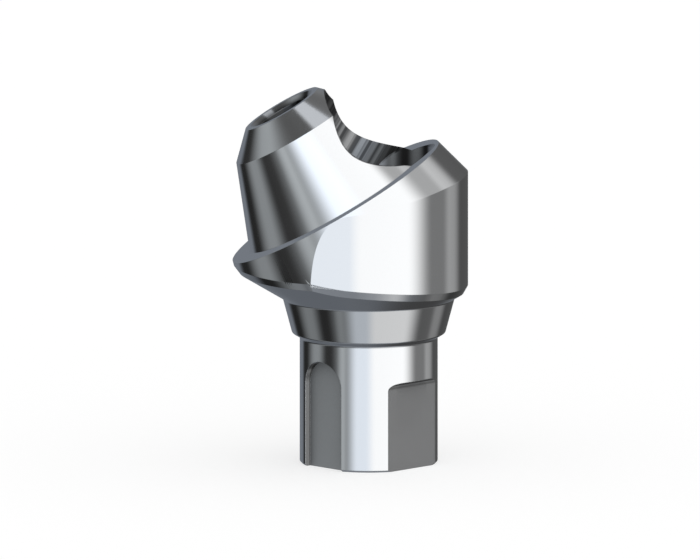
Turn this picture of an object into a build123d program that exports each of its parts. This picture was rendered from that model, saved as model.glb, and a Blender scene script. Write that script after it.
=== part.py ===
from build123d import *
import os
from math import cos, radians, sin, tan

os.makedirs("parts", exist_ok=True)

# One-piece angled abutment, turned and milled from titanium bar.
# Z is the axis of the implant, and Z = 0 is the flat lower end.
# The post leans towards -X. Lengths are in mm and angles in degrees.

# Indexing end: the cylinder that enters the implant
index_radius = 1.392
index_length = 2.568
index_edge_break = 0.04

# Tapered seat above it, with a short slope between the two
seat_half_angle = 15
seat_large_radius = 1.738
seat_length = 0.7
seat_slope = 31
seat_fillet = 0.06

# Two opposite round-topped slots in the indexing end
slot_width = 1.01
slot_floor_distance = 1.16
slot_top = 2.2
slot_angle = 225

# Two opposite flats between the slots
flat_distance = 1.22
flat_top = 1.81
flat_fillet = 0.155
flat_angle = 315

# Platform: the flat ring that carries the restoration, square to the post
tilt = 30
pivot_height = 4.165
platform_height = 1.336
platform_radius = 2.4
collar_half_angle = 15

# Body under the platform: how far its round side stands out past the seat, and its underside
body_overhang = 0.266
underside_slope = 31
underside_chamfer = 0.1
underside_fillet = 0.06

# Post
post_base_radius = 2.007
post_half_angle = 21.6
post_length = 2.19
post_end_radius = 0.835
post_end_half_angle = 45

# Channel for the screw that holds the abutment in the implant
access_radius = 1.277
screw_seat_height = 3.35
screw_seat_half_angle = 45
screw_bore_radius = 0.9
screw_bore_edge_break = 0.06

# Slanted run-out that lets the channel out through the side of the post.
# It is round in plan and slides away from the post as it rises.
run_out_radius = 1.43
run_out_lean = 30
run_out_crossing = 2.507
run_out_floor = 1.535

# Threaded hole for the screw that holds the restoration
post_hole_radius = 0.6
post_hole_depth = 1.3
post_hole_mouth_radius = 0.7
post_hole_mouth_half_angle = 45

# Heights of the corners of the seat, up the implant axis
seat_small_radius = seat_large_radius - seat_length * tan(radians(seat_half_angle))
seat_bottom = index_length + (seat_small_radius - index_radius) * tan(radians(seat_slope))
seat_top = seat_bottom + seat_length

# The body's round side has the platform's radius about this X
body_offset = seat_large_radius + body_overhang - platform_radius

# Post and collar, measured along the post from where it crosses the implant axis
post_end = platform_height + post_length
post_taper = tan(radians(post_half_angle))
post_end_taper = tan(radians(post_end_half_angle))
post_end_narrowing = post_base_radius - post_end_radius - post_length * post_taper
post_end_length = post_end_narrowing / (post_end_taper - post_taper)
post_break = post_end - post_end_length
post_break_radius = post_end_radius + post_end_length * post_end_taper

# Distance that lies outside every face of the part
clear = pivot_height + post_end + platform_radius

# Foot of the collar's cone, which is cut away again below the body
collar_foot = platform_height - clear
collar_foot_radius = platform_radius + clear * tan(radians(collar_half_angle))

# The screw channel stops where it lies wholly inside the run-out, at the crossing of their axes
access_top = pivot_height + run_out_crossing
run_out_bottom = pivot_height + run_out_floor
run_out_shift = (access_top - run_out_bottom) * tan(radians(run_out_lean))

# Directions of the leaning post
pivot = (0, 0, pivot_height)
up_post = (-sin(radians(tilt)), 0, cos(radians(tilt)))
across_post = (cos(radians(tilt)), 0, sin(radians(tilt)))
post_axis = Axis(pivot, up_post)
post_section = Plane(origin=pivot, x_dir=across_post, z_dir=(0, -1, 0))

with BuildPart() as abutment:
    # Collar, platform and post, turned about the post's own axis
    with BuildSketch(post_section):
        with BuildLine():
            Polyline(
                (0, collar_foot),
                (collar_foot_radius, collar_foot),
                (platform_radius, platform_height),
                (post_base_radius, platform_height),
                (post_break_radius, post_break),
                (post_end_radius, post_end),
                (0, post_end),
                close=True,
            )
        make_face()
    revolve(axis=post_axis)

    # The body keeps only what lies in this upright outline: round on the right, flat flanks
    with BuildSketch(Plane.XY):
        with Locations((body_offset, 0)):
            Circle(platform_radius)
            Rectangle(clear, 2 * platform_radius, align=(Align.MAX, Align.CENTER))
    extrude(amount=clear, mode=Mode.INTERSECT)

    # Its underside is turned about the implant axis
    with BuildSketch(Plane.XZ):
        with BuildLine():
            Polyline(
                (0, seat_top),
                (seat_large_radius, seat_top),
                (clear, seat_top + (clear - seat_large_radius) * tan(radians(underside_slope))),
                (clear, 2 * clear),
                (0, 2 * clear),
                close=True,
            )
        make_face()
    revolve(axis=Axis.Z, mode=Mode.INTERSECT)
    underside = abutment.faces().filter_by(GeomType.CONE).sort_by(lambda face: face.bounding_box().min.Z)[0]
    chamfer(underside.edges().sort_by(lambda edge: edge.bounding_box().min.Z)[1:], underside_chamfer)

    # Indexing end and tapered seat, turned about the implant axis
    with BuildSketch(Plane.XZ) as lower_section:
        with BuildLine():
            Polyline(
                (0, 0),
                (index_radius, 0),
                (index_radius, index_length),
                (seat_small_radius, seat_bottom),
                (seat_large_radius, seat_top),
                (0, seat_top),
                close=True,
            )
        make_face()
        chamfer(lower_section.vertices().sort_by(Axis.Y)[:2].sort_by(Axis.X)[-1], index_edge_break)
        fillet(lower_section.vertices().filter_by_position(Axis.Y, index_length, seat_bottom), seat_fillet)
    revolve(axis=Axis.Z)
    seat_circles = abutment.edges().filter_by(GeomType.CIRCLE)
    fillet(seat_circles.sort_by(lambda edge: abs(edge.center().Z - seat_top))[0], underside_fillet)

    # Round-topped slots, milled square to the implant axis
    for turn in (slot_angle, slot_angle + 180):
        outward = Vector(cos(radians(turn)), sin(radians(turn)), 0)
        sideways = Vector(-sin(radians(turn)), cos(radians(turn)), 0)
        with BuildSketch(Plane(origin=slot_floor_distance * outward, x_dir=sideways, z_dir=outward)):
            with Locations((0, slot_top - slot_width / 2)):
                Circle(slot_width / 2)
                Rectangle(slot_width, slot_top, align=(Align.CENTER, Align.MAX))
        extrude(amount=index_radius, mode=Mode.SUBTRACT)

    # Flats, milled along their own face with a round-nosed cutter
    for turn in (flat_angle, flat_angle + 180):
        outward = Vector(cos(radians(turn)), sin(radians(turn)), 0)
        sideways = Vector(sin(radians(turn)), -cos(radians(turn)), 0)
        with BuildSketch(Plane(origin=(0, 0, 0), x_dir=outward, z_dir=sideways)) as flat_section:
            with Locations((flat_distance, flat_top)):
                Rectangle(index_radius, clear, align=(Align.MIN, Align.MAX))
            fillet(flat_section.vertices().group_by(Axis.Y)[-1].sort_by(Axis.X)[0], flat_fillet)
        extrude(amount=index_radius, both=True, mode=Mode.SUBTRACT)

    # Channel and seat for the abutment screw
    with BuildSketch(Plane.XZ):
        with BuildLine():
            Polyline(
                (0, 0),
                (screw_bore_radius + screw_bore_edge_break, 0),
                (screw_bore_radius, screw_bore_edge_break),
                (
                    screw_bore_radius,
                    screw_seat_height
                    - (access_radius - screw_bore_radius) / tan(radians(screw_seat_half_angle)),
                ),
                (access_radius, screw_seat_height),
                (access_radius, access_top),
                (0, access_top),
                close=True,
            )
        make_face()
    revolve(axis=Axis.Z, mode=Mode.SUBTRACT)

    # Run-out where that channel leaves the post
    with BuildSketch(Plane.XY.offset(run_out_bottom)):
        with Locations((-run_out_shift, 0)):
            Circle(run_out_radius)
    extrude(amount=clear, dir=(sin(radians(run_out_lean)), 0, cos(radians(run_out_lean))), mode=Mode.SUBTRACT)

    # Hole for the restoration screw, down the post's axis and open into the run-out
    with BuildSketch(post_section):
        with BuildLine():
            Polyline(
                (0, post_end - post_hole_depth),
                (post_hole_radius, post_end - post_hole_depth),
                (
                    post_hole_radius,
                    post_end
                    - (post_hole_mouth_radius - post_hole_radius) / tan(radians(post_hole_mouth_half_angle)),
                ),
                (post_hole_mouth_radius, post_end),
                (0, post_end),
                close=True,
            )
        make_face()
    revolve(axis=post_axis, mode=Mode.SUBTRACT)

abutment.part.label = "abutment"
export_step(abutment.part, "parts/abutment.step")
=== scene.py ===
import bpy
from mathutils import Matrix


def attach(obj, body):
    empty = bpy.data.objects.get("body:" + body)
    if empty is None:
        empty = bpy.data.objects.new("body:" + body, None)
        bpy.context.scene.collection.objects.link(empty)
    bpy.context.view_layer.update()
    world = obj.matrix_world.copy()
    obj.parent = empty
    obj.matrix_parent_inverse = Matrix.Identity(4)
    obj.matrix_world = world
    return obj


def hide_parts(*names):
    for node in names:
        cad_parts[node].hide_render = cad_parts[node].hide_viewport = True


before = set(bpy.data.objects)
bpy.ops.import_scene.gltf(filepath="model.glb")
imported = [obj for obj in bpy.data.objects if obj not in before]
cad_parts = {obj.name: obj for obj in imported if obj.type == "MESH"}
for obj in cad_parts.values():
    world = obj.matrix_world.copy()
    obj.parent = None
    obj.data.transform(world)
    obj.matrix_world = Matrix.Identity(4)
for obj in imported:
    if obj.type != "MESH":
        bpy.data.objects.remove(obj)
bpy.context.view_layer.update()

import math

import bpy
from mathutils import Vector

# Camera: a long way off and without perspective, a little above the level of the part,
# square to the plane that the post leans in.
MM = 0.001
camera_rise = math.radians(9.55)
camera_away = 200 * MM
picture_pixels = 700
pixels_per_mm = 49.58
picture_width = picture_pixels / pixels_per_mm * MM
looked_at = Vector((-0.3776, 0.6073, 3.6100)) * MM

to_camera = Vector((0, -math.cos(camera_rise), math.sin(camera_rise)))
camera_data = bpy.data.cameras.new("camera")
camera_data.type = "ORTHO"
camera_data.ortho_scale = picture_width
camera_data.clip_start = 1 * MM
camera_data.clip_end = 2000 * MM
camera = bpy.data.objects.new("camera", camera_data)
camera.location = looked_at + camera_away * to_camera
camera.rotation_euler = (math.pi / 2 - camera_rise, 0, 0)
bpy.context.scene.collection.objects.link(camera)
bpy.context.scene.camera = camera
bpy.context.scene.view_settings.view_transform = "Standard"


# Abutment: one piece of titanium, turned on two axes, milled, and polished all over.
# It is cut here in the order in which it is made, as finely as a mirror finish needs.
# Sizes are those of the solid, in metres, and Z is the axis of the implant.
index_radius = 1.392 * MM
index_length = 2.568 * MM
index_edge_break = 0.04 * MM
seat_half_angle = math.radians(15)
seat_large_radius = 1.738 * MM
seat_length = 0.7 * MM
seat_slope = math.radians(31)
seat_fillet = 0.06 * MM
slot_width = 1.01 * MM
slot_floor_distance = 1.16 * MM
slot_top = 2.2 * MM
slot_turn = math.radians(225)
flat_distance = 1.22 * MM
flat_top = 1.81 * MM
flat_fillet = 0.155 * MM
flat_turn = math.radians(315)
tilt = math.radians(30)
pivot_height = 4.165 * MM
platform_height = 1.336 * MM
platform_radius = 2.4 * MM
collar_half_angle = math.radians(15)
body_overhang = 0.266 * MM
underside_slope = math.radians(31)
underside_chamfer = 0.1 * MM
post_base_radius = 2.007 * MM
post_half_angle = math.radians(21.6)
post_length = 2.19 * MM
post_end_radius = 0.835 * MM
access_radius = 1.277 * MM
screw_seat_height = 3.35 * MM
screw_bore_radius = 0.9 * MM
screw_bore_edge_break = 0.06 * MM
run_out_radius = 1.43 * MM
run_out_lean = math.radians(30)
run_out_crossing = 2.507 * MM
run_out_floor = 1.535 * MM
post_hole_radius = 0.6 * MM
post_hole_depth = 1.3 * MM
post_hole_mouth_radius = 0.7 * MM
thread_pitch = 0.3 * MM
thread_depth = 0.08 * MM
thread_turns = 3
thread_lead_in = thread_pitch / 4
thread_upper_flank = thread_pitch * 7 / 16
thread_root = thread_pitch / 8
thread_lower_flank = thread_pitch * 5 / 16

# radii and heights that follow from those sizes, and a distance that reaches past every face
seat_small_radius = seat_large_radius - seat_length * math.tan(seat_half_angle)
seat_bottom = index_length + (seat_small_radius - index_radius) * math.tan(seat_slope)
seat_top = seat_bottom + seat_length
body_offset = seat_large_radius + body_overhang - platform_radius
post_end = platform_height + post_length
post_taper = math.tan(post_half_angle)
post_end_length = (post_base_radius - post_end_radius - post_length * post_taper) / (1 - post_taper)
post_break = post_end - post_end_length
clear = pivot_height + post_end + platform_radius

# the axis of the implant and that of the post, which crosses it at the pivot
foot = Vector((0, 0, 0))
up = Vector((0, 0, 1))
across = Vector((1, 0, 0))
pivot = pivot_height * up
up_post = Vector((-math.sin(tilt), 0, math.cos(tilt)))
across_post = Vector((math.cos(tilt), 0, math.sin(tilt)))

# how finely it is cut
turning_steps = 360
rounding_steps = 8
merging = 0.0005 * MM
smooth_below = math.radians(10)


def rounded(before, corner, after, radius, steps=rounding_steps):
    """The points of an arc of this radius that replaces a corner of an outline."""
    before, corner, after = Vector(before), Vector(corner), Vector(after)
    back = (before - corner).normalized()
    ahead = (after - corner).normalized()
    half = back.angle(ahead) / 2
    middle = corner + (back + ahead).normalized() * radius / math.sin(half)
    first = corner + back * radius / math.tan(half) - middle
    last = corner + ahead * radius / math.tan(half) - middle
    sweep = first.angle(last)
    return [
        middle + (first * math.sin(sweep * (1 - part)) + last * math.sin(sweep * part)) / math.sin(sweep)
        for part in (step / steps for step in range(steps + 1))
    ]


def round_arc(middle, radius, turn_from, turn_to, steps):
    """Points along an arc about middle, both ends included."""
    turns = [turn_from + (turn_to - turn_from) * step / steps for step in range(steps + 1)]
    return [(middle[0] + radius * math.cos(turn), middle[1] + radius * math.sin(turn)) for turn in turns]


def drawn(name, outline, origin, along, upright):
    """One vertex extruded from point to point, through an outline in the plane of along and upright."""
    points = [origin + point[0] * along + point[1] * upright for point in outline]
    bpy.ops.object.select_all(action="DESELECT")
    bpy.ops.mesh.primitive_plane_add(size=1 * MM)
    piece = bpy.context.object
    piece.name = name
    bpy.ops.object.mode_set(mode="EDIT")
    bpy.ops.mesh.merge(type="CENTER")
    bpy.ops.transform.translate(value=points[0])
    for before, after in zip(points, points[1:]):
        bpy.ops.mesh.extrude_vertices_move(TRANSFORM_OT_translate={"value": after - before})
    bpy.ops.mesh.select_all(action="SELECT")
    return piece


def closed_up(gap=merging):
    """Leaves edit mode with doubles merged and all faces pointing outwards."""
    bpy.ops.mesh.select_all(action="SELECT")
    bpy.ops.mesh.remove_doubles(threshold=gap)
    bpy.ops.mesh.normals_make_consistent(inside=False)
    bpy.ops.object.mode_set(mode="OBJECT")


def turned(name, outline, origin, along, axis):
    """The solid of an outline of radii and heights, turned about the line through origin along axis."""
    piece = drawn(name, outline, origin, along, axis)
    bpy.ops.mesh.spin(steps=turning_steps, angle=2 * math.pi, center=origin, axis=axis)
    closed_up()
    return piece


def milled(name, outline, origin, along, upright, travel):
    """The solid that a flat outline sweeps along travel."""
    piece = drawn(name, outline, origin, along, upright)
    bpy.ops.mesh.edge_face_add()
    bpy.ops.mesh.extrude_region_move(TRANSFORM_OT_translate={"value": travel})
    closed_up()
    return piece


def combine(piece, tool, operation):
    """Keeps of a piece what lies outside a tool, or with INTERSECT inside it, and removes the tool."""
    modifier = piece.modifiers.new("tool", "BOOLEAN")
    modifier.operation = operation
    modifier.solver = "EXACT"
    modifier.object = tool
    bpy.context.view_layer.objects.active = piece
    bpy.ops.object.modifier_apply(modifier=modifier.name)
    bpy.data.objects.remove(tool)


# collar, platform, post and the threaded hole in its end, turned about the post's axis
thread_top = post_end - (post_hole_mouth_radius - post_hole_radius) - thread_lead_in
thread = []
for turn in range(thread_turns):
    groove_top = thread_top - turn * thread_pitch
    root_top = groove_top - thread_upper_flank
    root_bottom = root_top - thread_root
    thread += [
        (post_hole_radius, groove_top),
        (post_hole_radius + thread_depth, root_top),
        (post_hole_radius + thread_depth, root_bottom),
        (post_hole_radius, root_bottom - thread_lower_flank),
    ]
post_corners = [
    (platform_radius + clear * math.tan(collar_half_angle), platform_height - clear),
    (platform_radius, platform_height),
    (post_base_radius, platform_height),
    (post_end_radius + post_end_length, post_break),
    (post_end_radius, post_end),
    (post_hole_mouth_radius, post_end),
    (post_hole_radius, post_end - (post_hole_mouth_radius - post_hole_radius)),
]
polished = turned(
    "polished_abutment",
    [
        (0, platform_height - clear),
        *post_corners,
        *thread,
        (post_hole_radius, post_end - post_hole_depth),
        (0, post_end - post_hole_depth),
    ],
    pivot,
    across_post,
    up_post,
)

# upright outline of the body: round on the right, flat flanks towards the post
body_outline = round_arc((body_offset, 0), platform_radius, -math.pi / 2, math.pi / 2, turning_steps // 2)
combine(
    polished,
    milled(
        "body_outline",
        body_outline + [(-clear, platform_radius), (-clear, -platform_radius)],
        foot,
        across,
        Vector((0, 1, 0)),
        clear * up,
    ),
    "INTERSECT",
)

# underside, tapered seat and indexing end, turned about the implant axis
underside_end = (clear, seat_top + (clear - seat_large_radius) * math.tan(underside_slope))
seat_corners = [
    (index_radius, index_edge_break),
    (index_radius, index_length),
    (seat_small_radius, seat_bottom),
    (seat_large_radius, seat_top),
    underside_end,
]

# its three inner corners are filleted alike
fillets = []
for before, corner, after in zip(seat_corners, seat_corners[1:], seat_corners[2:]):
    fillets += rounded(before, corner, after, seat_fillet)
combine(
    polished,
    turned(
        "lower_end",
        [
            (0, 0),
            (index_radius - index_edge_break, 0),
            seat_corners[0],
            *fillets,
            underside_end,
            (clear, 2 * clear),
            (0, 2 * clear),
        ],
        foot,
        across,
        up,
    ),
    "INTERSECT",
)

# a level cut beside the corners of the flanks, so that only small faces move with the chamfer
chamfer_merging = 0.015 * MM
corner_cut = 4.12 * MM
square_on = 1 - 1e-5
underside_lean = -0.5 * (math.cos(underside_slope) + math.sin(collar_half_angle))
bpy.context.view_layer.objects.active = polished
bpy.ops.object.mode_set(mode="EDIT")
bpy.ops.mesh.select_mode(type="FACE")
bpy.ops.mesh.select_all(action="DESELECT")
bpy.ops.object.mode_set(mode="OBJECT")
underside_corners = set()
flank_corners = set()
for face in polished.data.polygons:
    if face.normal.z < underside_lean:
        underside_corners.update(face.vertices)
    if abs(face.normal.y) > square_on:
        flank_corners.update(face.vertices)
shared_corners = underside_corners & flank_corners
for face in polished.data.polygons:
    face.select = face.normal.z >= underside_lean and not shared_corners.isdisjoint(face.vertices)
bpy.ops.object.mode_set(mode="EDIT")
bpy.ops.mesh.bisect(plane_co=(0, 0, corner_cut), plane_no=up)
bpy.ops.mesh.select_mode(type="EDGE")
bpy.ops.mesh.select_all(action="DESELECT")
bpy.ops.object.mode_set(mode="OBJECT")

# chamfer round the underside, where its faces meet the sides
beside = {}
for face in polished.data.polygons:
    for edge in face.edge_keys:
        beside.setdefault(edge, set()).add(face.normal.z < underside_lean)
for edge in polished.data.edges:
    ends = [polished.data.vertices[index].co for index in edge.vertices]
    past_seat = min(end.xy.length for end in ends) > seat_large_radius + 2 * seat_fillet
    edge.select = past_seat and len(beside[edge.key]) == 2
bpy.ops.object.mode_set(mode="EDIT")
bpy.ops.mesh.remove_doubles(threshold=chamfer_merging)
bpy.ops.mesh.bevel(
    offset=underside_chamfer,
    offset_type="OFFSET",
    segments=1,
    affect="EDGES",
    clamp_overlap=False,
)
bpy.ops.mesh.select_mode(type="VERT")
closed_up()

# two opposite round-topped slots and two opposite flats, the flats with a round-nosed cutter
for half_turn in (0, math.pi):
    outward = Vector((math.cos(slot_turn + half_turn), math.sin(slot_turn + half_turn), 0))
    slot_side = slot_width / 2
    slot_outline = round_arc((0, slot_top - slot_side), slot_side, 0, math.pi, turning_steps // 6)
    combine(
        polished,
        milled(
            "slot_tool",
            [*slot_outline, (-slot_side, -slot_top), (slot_side, -slot_top)],
            slot_floor_distance * outward,
            Vector((-outward.y, outward.x, 0)),
            up,
            index_radius * outward,
        ),
        "DIFFERENCE",
    )
    outward = Vector((math.cos(flat_turn + half_turn), math.sin(flat_turn + half_turn), 0))
    sideways = Vector((outward.y, -outward.x, 0))
    flat_far = flat_distance + index_radius
    flat_corner = rounded(
        (flat_distance, -flat_top),
        (flat_distance, flat_top),
        (flat_far, flat_top),
        flat_fillet,
        2 * rounding_steps,
    )
    combine(
        polished,
        milled(
            "flat_tool",
            [(flat_distance, -flat_top), *flat_corner, (flat_far, flat_top), (flat_far, -flat_top)],
            index_radius * sideways,
            outward,
            up,
            -2 * index_radius * sideways,
        ),
        "DIFFERENCE",
    )

# channel and conical seat for the abutment screw
channel_corners = [
    (screw_bore_radius, screw_bore_edge_break),
    (screw_bore_radius, screw_seat_height - (access_radius - screw_bore_radius)),
    (access_radius, screw_seat_height),
    (access_radius, pivot_height + run_out_crossing),
]
combine(
    polished,
    turned(
        "channel_tool",
        [
            (0, -merging),
            (screw_bore_radius + screw_bore_edge_break + merging, -merging),
            *channel_corners,
            (0, pivot_height + run_out_crossing),
        ],
        foot,
        across,
        up,
    ),
    "DIFFERENCE",
)

# slanted run-out, round in plan, where the channel leaves the post
run_out_shift = (run_out_crossing - run_out_floor) * math.tan(run_out_lean)
run_out_circle = round_arc((-run_out_shift, 0), run_out_radius, 0, 2 * math.pi, turning_steps)
combine(
    polished,
    milled(
        "run_out_tool",
        run_out_circle[:-1],
        (pivot_height + run_out_floor) * up,
        across,
        Vector((0, 1, 0)),
        clear * Vector((math.sin(run_out_lean), 0, math.cos(run_out_lean))),
    ),
    "DIFFERENCE",
)
bpy.ops.object.select_all(action="DESELECT")
polished.select_set(True)
bpy.ops.object.shade_smooth_by_angle(angle=smooth_below)


# a mirror finish shows every facet, so each face is shaded as the true cone or wall that it lies on
def turned_face(origin, axis, first, last):
    """A cone turned by one edge of an outline: gives how far a point is from it, and its normal there."""
    run = (Vector(last) - Vector(first)).normalized()

    def at(point):
        level = (point - origin).dot(axis)
        outward = point - origin - level * axis
        away = (outward.length - first[0]) * run.y - (level - first[1]) * run.x
        return away, run.y * outward.normalized() - run.x * axis

    return at


def run_out_wall(point):
    """The same for the slanted wall of the run-out."""
    middle = (point.z - pivot.z - run_out_crossing) * math.tan(run_out_lean)
    outward = Vector((point.x - middle, point.y, 0))
    away = outward.length - run_out_radius
    outward.z = -outward.x * math.tan(run_out_lean)
    return away, outward.normalized()


def body_side(point):
    """The same for the body's upright side, round on the right and flat on the flanks."""
    outward = Vector((max(point.x - body_offset, 0), point.y, 0))
    return outward.length - platform_radius, outward.normalized()


true_faces = [turned_face(pivot, up_post, *ends) for ends in zip(post_corners, post_corners[1:])]
true_faces += [turned_face(foot, up, *ends) for ends in zip(seat_corners, seat_corners[1:])]
true_faces += [turned_face(foot, up, *ends) for ends in zip(channel_corners, channel_corners[1:])]
true_faces += [body_side, run_out_wall]
near = chamfer_merging / 2
nearly_along = math.cos(math.radians(4))
shading = [corner.vector.copy() for corner in polished.data.corner_normals]
for face in polished.data.polygons:
    for true_face in true_faces:
        away, normal = true_face(face.center)
        agreement = normal.dot(face.normal)
        if abs(away) < near and abs(agreement) > nearly_along:
            side = math.copysign(1, agreement)
            for loop in face.loop_indices:
                corner = polished.data.vertices[polished.data.loops[loop].vertex_index].co
                shading[loop] = side * true_face(corner)[1]
            break
polished.data.normals_split_custom_set(shading)
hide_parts("abutment")
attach(polished, "root")


class Socket:
    """An output socket, or a number, that can be added, multiplied and so on."""

    def __init__(self, tree, source):
        self.tree = tree
        self.source = source

    def node(self, kind, inputs=None, output=0, **settings):
        """A node of this kind with these settings and inputs, as the one of its outputs that is asked for."""
        made = self.tree.nodes.new(kind)
        for setting, value in settings.items():
            setattr(made, setting, value)
        for name, value in (inputs or {}).items():
            if isinstance(value, Socket):
                self.tree.links.new(value.source, made.inputs[name])
            else:
                made.inputs[name].default_value = value
        return Socket(self.tree, made.outputs[output] if made.outputs else None)

    def maths(self, operation, *others):
        return self.node("ShaderNodeMath", dict(enumerate((self, *others))), operation=operation)

    def __add__(self, other):
        return self.maths("ADD", other)

    def __radd__(self, other):
        return self.maths("ADD", other)

    def __sub__(self, other):
        return self.maths("SUBTRACT", other)

    def __rsub__(self, other):
        return self.node("ShaderNodeMath", {0: other, 1: self}, operation="SUBTRACT")

    def __mul__(self, other):
        return self.maths("MULTIPLY", other)

    def __rmul__(self, other):
        return self.maths("MULTIPLY", other)

    def step(self, low, high, start=0, end=1):
        """Rises smoothly from start to end while this goes from low to high."""
        return self.node(
            "ShaderNodeMapRange",
            {"Value": self, "From Min": low, "From Max": high, "To Min": start, "To Max": end},
            interpolation_type="SMOOTHSTEP",
        )


def new_material(name):
    material = bpy.data.materials.new(name)
    material.use_nodes = True
    material.node_tree.nodes.clear()
    return material, Socket(material.node_tree, None)


def finish_material(start, shader):
    """Ends a material in the shader that start's tree shows on the surface."""
    start.node("ShaderNodeOutputMaterial", {"Surface": shader})


# clean metal, and the dark colour of the shade painted into it deep in the bores
clean_metal = (0.82, 0.83, 0.84, 1)
painted_bore_shade = (0.02, 0.021, 0.023, 1)
bore_reach = 3 * MM
deepest_shade = 0.8
hole_shade_depths = (0.02 * MM, 0.13 * MM)
hole_shade_levels = (0.3, 0.97)
painted_streaks_per_radian = 9
streak_shades = (0.94, 0.62)
polished_roughness = 0.08
cloud_roughness = 0.03
milled_roughness = 0.1
edge_roughness = 0.4
edge_softness = 0.012 * MM
mark_depth = 0.00004 * MM
marks_per_metre = 8 / MM
clouds_per_metre = 0.8 / MM

titanium, start = new_material("titanium")
place = start.node("ShaderNodeTexCoord", output="Object")
sideways, depth, height = (
    start.node("ShaderNodeSeparateXYZ", {0: place}, output=axis) for axis in ("X", "Y", "Z")
)
up_the_post = start.node(
    "ShaderNodeVectorMath", {0: place, 1: up_post}, output="Value", operation="DOT_PRODUCT"
)
from_axis = start.node(
    "ShaderNodeVectorMath",
    {0: start.node("ShaderNodeVectorMath", {0: place, 1: (1, 1, 0)}, operation="MULTIPLY")},
    output="Value",
    operation="LENGTH",
)

# rings left by turning, about the post's axis above and the implant's below
above = height.step(seat_top - seat_fillet, seat_top + seat_fillet)
along_axis = above * up_the_post + (1 - above) * height
turning_marks = start.node(
    "ShaderNodeTexNoise",
    {"W": along_axis, "Scale": marks_per_metre, "Detail": 4, "Roughness": 0.6},
    noise_dimensions="1D",
)

# slots and flats are milled, and a little duller than what was turned and polished
milled_depth = 0.01 * MM
milled_face = from_axis.step(index_radius - milled_depth, index_radius - 2 * milled_depth)
milled_face = milled_face * height.step(slot_top + milled_depth, slot_top)
rounded_normal = start.node("ShaderNodeBevel", {"Radius": edge_softness}, samples=4)
edge = 1 - start.node(
    "ShaderNodeVectorMath",
    {0: rounded_normal, 1: start.node("ShaderNodeNewGeometry", output="Normal")},
    output="Value",
    operation="DOT_PRODUCT",
)
clouds = start.node("ShaderNodeTexNoise", {"Vector": place, "Scale": clouds_per_metre, "Detail": 3})
roughness = polished_roughness + clouds.step(0.35, 0.7, 0, cloud_roughness)
roughness = roughness + milled_face * milled_roughness + edge * edge_roughness

# painted shade: inside the run-out, the channel and the hole in the post the colour is darker the deeper it
# lies
crossing = pivot_height + run_out_crossing
run_out_bottom = pivot_height + run_out_floor
from_middle = sideways - (height - crossing) * math.tan(run_out_lean)
from_run_out = (from_middle * from_middle + depth * depth).maths("SQRT")
from_pivot = start.node("ShaderNodeVectorMath", {0: place, 1: pivot}, operation="SUBTRACT")
round_post = start.node("ShaderNodeVectorMath", {0: from_pivot, 1: up_post}, operation="CROSS_PRODUCT")
from_post_axis = start.node("ShaderNodeVectorMath", {0: round_post}, output="Value", operation="LENGTH")


def inside(distance, radius):
    """1 within a bore of this radius and 0 outside it."""
    return distance.step(radius + 2 * milled_depth, radius + milled_depth)


hole_top = up_post.dot(pivot) + post_end
hole_bottom = hole_top - post_hole_depth
above_floor = height.step(run_out_bottom - 2 * milled_depth, run_out_bottom - milled_depth)
in_run_out = inside(from_run_out, run_out_radius) * above_floor
in_channel = inside(from_axis, access_radius) * height.step(crossing, crossing - milled_depth)
in_hole = inside(from_post_axis, post_hole_mouth_radius)
in_hole = in_hole * up_the_post.step(hole_bottom - 2 * milled_depth, hole_bottom)
bored = in_run_out.maths("MAXIMUM", in_channel.maths("MAXIMUM", in_hole))
openness = start.node(
    "ShaderNodeAmbientOcclusion",
    {"Distance": bore_reach},
    output="AO",
    samples=8,
    only_local=True,
)
hole_shade = in_hole * (hole_top - up_the_post).step(*hole_shade_depths, *hole_shade_levels)

# painted shade in the run-out's colour, broken by painted reflection streaks that run along its slant
round_run_out = depth.maths("ARCTAN2", from_middle)
painted_reflection_streaks = start.node(
    "ShaderNodeTexNoise",
    {"W": round_run_out, "Scale": painted_streaks_per_radian, "Detail": 2},
    noise_dimensions="1D",
)
run_out_shade = in_run_out * painted_reflection_streaks.step(0.3, 0.7, *streak_shades)
# shade painted into the colour, more where the bores are closed in, and most deep in the hole and the run-out
shade = bored * (1 - openness * openness) * deepest_shade
shade = shade.maths("MAXIMUM", hole_shade.maths("MAXIMUM", run_out_shade))
colour = start.node(
    "ShaderNodeMix",
    {"A": clean_metal, "B": painted_bore_shade, "Factor": shade},
    output="Result",
    data_type="RGBA",
)
bump = start.node(
    "ShaderNodeBump",
    {"Strength": 1, "Distance": mark_depth, "Height": turning_marks, "Normal": rounded_normal},
)
shader = start.node(
    "ShaderNodeBsdfPrincipled",
    {"Base Color": colour, "Metallic": 1, "Roughness": roughness, "Normal": bump},
)
finish_material(start, shader)
polished.data.materials.clear()
polished.data.materials.append(titanium)

# the metal shows its surroundings and not itself
polished.visible_glossy = False


# Floor: a plain pale sheet that the part stands on. It keeps the part's soft shadow,
# and looks white to the camera without lighting the metal.
floor_width = 400 * MM
floor_paper = (0.45, 0.45, 0.45, 1)
floor_whiteness = 0.6


def plain_plane(name, width):
    bpy.ops.object.select_all(action="DESELECT")
    bpy.ops.mesh.primitive_plane_add(size=width)
    made = bpy.context.object
    made.name = name
    return made


floor = plain_plane("floor", floor_width)
floor.visible_glossy = False
paper, start = new_material("floor_paper")
camera_ray = start.node("ShaderNodeLightPath", output="Is Camera Ray")
shader = start.node(
    "ShaderNodeAddShader",
    {
        0: start.node("ShaderNodeBsdfDiffuse", {"Color": floor_paper}),
        1: start.node("ShaderNodeEmission", {"Strength": camera_ray * floor_whiteness}),
    },
)
finish_material(start, shader)
floor.data.materials.append(paper)

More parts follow.
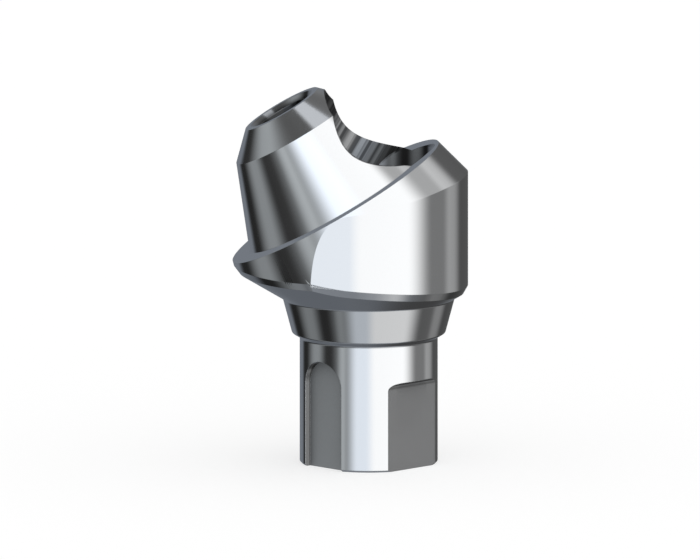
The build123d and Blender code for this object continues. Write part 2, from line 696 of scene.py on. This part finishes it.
# Room: plain white all round, seen by the camera and in the metal,
# and a little softer as a light.
room_light = 0.9
world = bpy.data.worlds.new("room")
bpy.context.scene.world = world
world.use_nodes = True
world.node_tree.nodes.clear()
start = Socket(world.node_tree, None)
seen = start.node("ShaderNodeLightPath", output="Is Camera Ray")
for kind in ("Is Glossy Ray", "Is Transmission Ray"):
    seen = seen.maths("MAXIMUM", start.node("ShaderNodeLightPath", output=kind))
strength = seen * (1 - room_light) + room_light
shader = start.node("ShaderNodeBackground", {"Color": (1, 1, 1, 1), "Strength": strength})
start.node("ShaderNodeOutputWorld", {"Surface": shader})

# Studio: a round grey wall, black flags and bright screens in front of it, all outside the picture,
# with a board above and one below. Polished metal shows only what is round it, so they draw its bands.
ring_radius = 60 * MM
wall_foot = -170 * MM
wall_head = 420 * MM
board_width = 300 * MM
card_steps = 48

# heights, as shares of a card's distance, between which its light changes, and shares of the
# wall's foot and head at which its ends begin to fade
lowest, lower, higher = -0.6, -0.15, 0.9
foot_fade = 0.5
head_fade = 0.6


def card_paint(name, away, half_span, tint, lights, softs, low, high):
    """Light that changes from the left edge to the right one, and fades out at all four."""
    material, start = new_material(name)
    place = start.node("ShaderNodeTexCoord", output="Object")
    sideways, depth, height = (
        start.node("ShaderNodeSeparateXYZ", {0: place}, output=axis) for axis in ("X", "Y", "Z")
    )
    turn = sideways.maths("ARCTAN2", 0 - depth)
    level = height.step(lowest * away, lower * away, low, 1)
    level = level * height.step(lower * away, higher * away, 1, high)
    light = turn.step(-half_span, half_span, *lights) * level
    sides = turn.step(-half_span, softs[0] - half_span) * turn.step(half_span, half_span - softs[1])
    ends = height.step(wall_foot, foot_fade * wall_foot) * height.step(wall_head, head_fade * wall_head)
    colour = start.node(
        "ShaderNodeMix",
        {"A": (0, 0, 0, 1), "B": (*tint, 1), "Factor": light},
        output="Result",
        data_type="RGBA",
        clamp_factor=False,
    )
    glow = start.node("ShaderNodeEmission", {"Color": colour, "Strength": 1})
    clear_glass = start.node("ShaderNodeBsdfTransparent")
    shader = start.node("ShaderNodeMixShader", {0: sides * ends, 1: clear_glass, 2: glow})
    finish_material(start, shader)
    return material


def seen_in_metal_only(card):
    card.visible_camera = False
    card.visible_diffuse = False
    card.visible_shadow = False


def studio_card(name, turns, share, tint, lights, softs, low, high):
    """A board bent round the part between two bearings, which count from the camera's, in degrees."""
    away = ring_radius * share
    span = math.radians(turns[1] - turns[0])
    edge = Vector((-math.sin(span / 2), -math.cos(span / 2), 0))
    card = drawn(name, [(away, wall_foot), (away, wall_head)], foot, edge, up)
    bpy.ops.mesh.spin(steps=card_steps, angle=span, center=foot, axis=-up)
    bpy.ops.object.mode_set(mode="OBJECT")
    card.rotation_euler = (0, 0, math.radians(turns[0] + turns[1]) / 2)
    softs = [math.radians(soft) for soft in softs]
    paint = card_paint(name + "_paint", away, span / 2, tint, lights, softs, low, high)
    card.data.materials.append(paint)
    seen_in_metal_only(card)


def board(name, height, tint):
    """A level board above or below the part, of one even light."""
    made = plain_plane(name, board_width)
    made.location = (0, 0, height)
    material, start = new_material(name + "_paint")
    finish_material(start, start.node("ShaderNodeEmission", {"Color": (*tint, 1), "Strength": 1}))
    made.data.materials.append(material)
    seen_in_metal_only(made)


cool = (0.95, 1.0, 1.03)
cold = (0.85, 0.93, 1.06)
bright = (0.92, 0.98, 1.06)
plain = (1, 1, 1)

# bearings, share of the ring's radius, tint, light at each edge, softness of each edge in
# degrees, and how much the light changes low down and high up
for number, card in enumerate(
    (
        ((-200, -60), 1.5, cool, (0.28, 0.28), (10, 2), 0.7, 1.45),
        ((-80, 20), 1.49, cool, (0.28, 0.28), (10, 2), 0.7, 1.45),
        ((10, 190), 1.48, plain, (0.2, 0.2), (10, 10), 0.5, 2.2),
        ((-200, -128), 1.4, cold, (0.2, 0.22), (20, 10), 0.7, 1.3),
        ((-149, -100), 1.3, plain, (0.02, 0.025), (15, 26), 0.7, 2.5),
        ((-94, -40), 1.25, plain, (0.03, 0.035), (20, 27), 0.7, 3),
        ((-56, -33), 1.2, cool, (0.52, 0.38), (15, 11), 0.5, 1.3),
        ((-40, 30), 1.15, bright, (0.93, 0.96), (22, 4), 0.55, 1.4),
        ((-6, 87), 1.1, plain, (1.15, 1.2), (18, 30), 0.6, 1),
        ((102, 136), 1.05, plain, (0.38, 0.3), (12, 16), 0.5, 1.7),
        ((118, 182), 1.2, plain, (0.08, 0.09), (22, 20), 0.5, 1.5),
    )
):
    studio_card(f"card_{number}", *card)
board("ceiling_board", wall_head, (0.6, 0.62, 0.65))
board("floor_board", wall_foot, (0.22, 0.235, 0.26))
